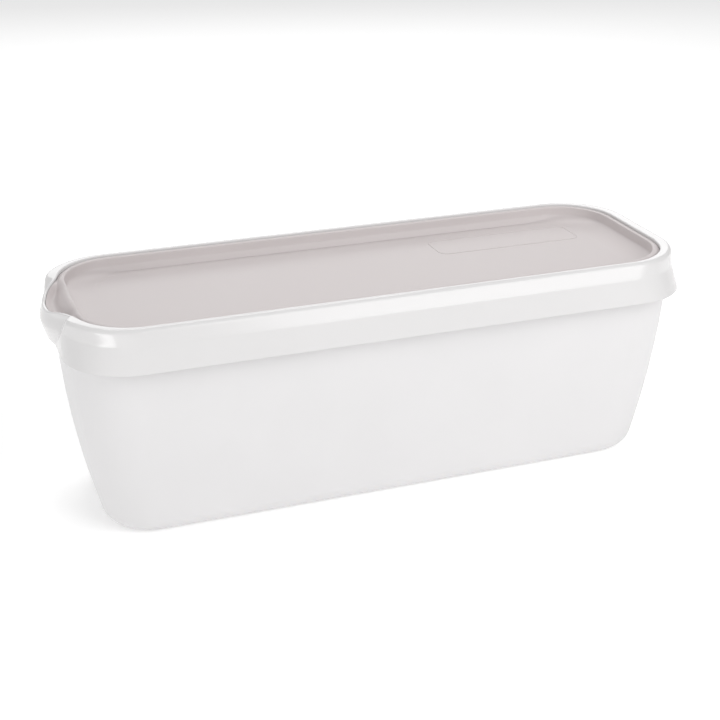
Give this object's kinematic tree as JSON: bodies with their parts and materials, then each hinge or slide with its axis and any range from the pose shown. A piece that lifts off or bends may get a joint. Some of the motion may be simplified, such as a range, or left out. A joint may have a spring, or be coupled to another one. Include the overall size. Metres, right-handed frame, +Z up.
{
  "type": "ice cream tub",
  "caption": "Long, slim lidded tub for ice cream, with bowed ends, a flared rim, a thumb spout at the end and a sunken soft lid.",
  "frame": {"origin": "middle of the base, on the surface the tub stands on", "axes": "+X along the tub away from the thumb spout, +Y across it, +Z up"},
  "size_m": [0.319, 0.1194, 0.1107],
  "materials": {
    "tub": "satin white, very fine grain",
    "rim": "gloss white",
    "lid": "soft matt warm grey"
  },
  "bodies": {
    "root": {"tub": "tub", "rim": "rim", "lid": "lid"}
  },
  "joints": []
}
